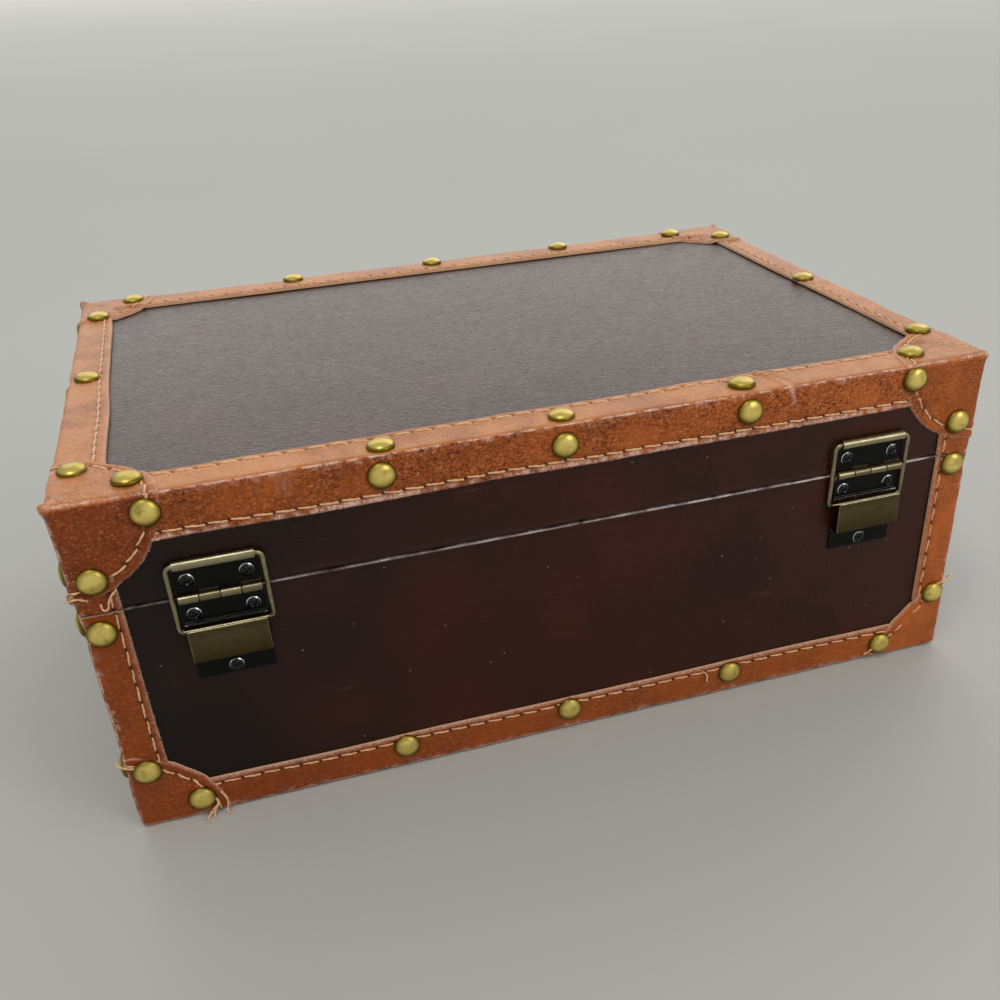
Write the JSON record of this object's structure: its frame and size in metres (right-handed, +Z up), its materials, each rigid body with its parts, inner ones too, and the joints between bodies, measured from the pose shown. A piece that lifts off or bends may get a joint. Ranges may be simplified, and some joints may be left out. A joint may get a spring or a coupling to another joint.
{
  "type": "decorative trunk",
  "caption": "Small hinged keepsake trunk: boarded box and lid in dark leatherette, tan leather edging with domed nails, stay hinges and a hasp latch.",
  "frame": {"origin": "on the resting plane, under the middle of the trunk", "axes": "+Z up, -Y towards the front with the latch, +Y towards the hinged rear, +X along the length to the right seen from the front"},
  "size_m": [0.3358, 0.2363, 0.1329],
  "materials": {
    "leatherette": "very dark oxblood brown leatherette, fine grain, semi-gloss",
    "tan_leather": "orange-brown tan leather with cream stitching and brass nails, semi-gloss, mottled",
    "fibreboard": "bare fibreboard",
    "lining_cloth": "flocked lining cloth, matt",
    "antique_bronze": "antique bronze plate, olive, satin",
    "blackened_steel": "blackened steel, semi-gloss",
    "nail_brass": "antique brass nail heads, satin",
    "thread": "cream waxed sewing thread"
  },
  "bodies": {
    "base": {"base_floor_board": "fibreboard", "base_wall_front": "fibreboard", "base_wall_rear": "fibreboard", "base_wall_left": "fibreboard", "base_wall_right": "fibreboard", "base_side_cover": "leatherette", "base_bottom_cover": "leatherette", "base_lining": "lining_cloth", "base_edging_front": "tan_leather", "base_edging_rear": "tan_leather", "base_edging_left": "tan_leather", "base_edging_right": "tan_leather", "base_post_edging_front_left": "tan_leather", "base_post_edging_front_right": "tan_leather", "base_post_edging_rear_left": "tan_leather", "base_post_edging_rear_right": "tan_leather", "base_corner_cap_front_left": "tan_leather", "base_corner_cap_front_right": "tan_leather", "base_corner_cap_rear_left": "tan_leather", "base_corner_cap_rear_right": "tan_leather", "left_hinge_lower_leaf": "blackened_steel", "left_hinge_stay_hood": "antique_bronze", "left_hinge_pin": "antique_bronze", "left_hinge_screw_lower_left": "blackened_steel", "left_hinge_screw_lower_right": "blackened_steel", "left_hinge_screw_foot": "blackened_steel", "right_hinge_lower_leaf": "blackened_steel", "right_hinge_stay_hood": "antique_bronze", "right_hinge_pin": "antique_bronze", "right_hinge_screw_lower_left": "blackened_steel", "right_hinge_screw_lower_right": "blackened_steel", "right_hinge_screw_foot": "blackened_steel", "latch_staple": "antique_bronze"},
    "lid": {"lid_top_board": "fibreboard", "lid_wall_front": "fibreboard", "lid_wall_rear": "fibreboard", "lid_wall_left": "fibreboard", "lid_wall_right": "fibreboard", "lid_side_cover": "leatherette", "lid_top_cover": "leatherette", "lid_lining": "lining_cloth", "lid_edging_front": "tan_leather", "lid_edging_rear": "tan_leather", "lid_edging_left": "tan_leather", "lid_edging_right": "tan_leather", "lid_corner_cap_front_left": "tan_leather", "lid_corner_cap_front_right": "tan_leather", "lid_corner_cap_rear_left": "tan_leather", "lid_corner_cap_rear_right": "tan_leather", "left_hinge_upper_leaf": "blackened_steel", "left_hinge_screw_upper_left": "blackened_steel", "left_hinge_screw_upper_right": "blackened_steel", "right_hinge_upper_leaf": "blackened_steel", "right_hinge_screw_upper_left": "blackened_steel", "right_hinge_screw_upper_right": "blackened_steel", "latch_plate": "antique_bronze", "latch_pin": "antique_bronze"},
    "bail_left": {"left_hinge_bail": "antique_bronze"},
    "bail_right": {"right_hinge_bail": "antique_bronze"},
    "hasp": {"latch_hasp": "antique_bronze"}
  },
  "joints": [
    {"name": "lid_open", "type": "hinge", "parent": "base", "child": "lid", "pos_m": [0, 0.1145, 0.0903], "axis": [-1, 0, 0], "range_deg": [0, 92]},
    {"name": "left_bail_swing", "type": "hinge", "parent": "lid", "child": "bail_left", "pos_m": [-0.12, 0.11425, 0.1027], "axis": [1, 0, 0], "range_deg": [0, 62]},
    {"name": "right_bail_swing", "type": "hinge", "parent": "lid", "child": "bail_right", "pos_m": [0.12, 0.11425, 0.1027], "axis": [1, 0, 0], "range_deg": [0, 62]},
    {"name": "hasp_swing", "type": "hinge", "parent": "lid", "child": "hasp", "pos_m": [0, -0.1145, 0.0949], "axis": [1, 0, 0], "range_deg": [0, 180]}
  ],
  "couplings": [
    {"joint": "left_bail_swing", "follows": "lid_open", "ratio": 0.67248},
    {"joint": "right_bail_swing", "follows": "lid_open", "ratio": 0.67248}
  ]
}
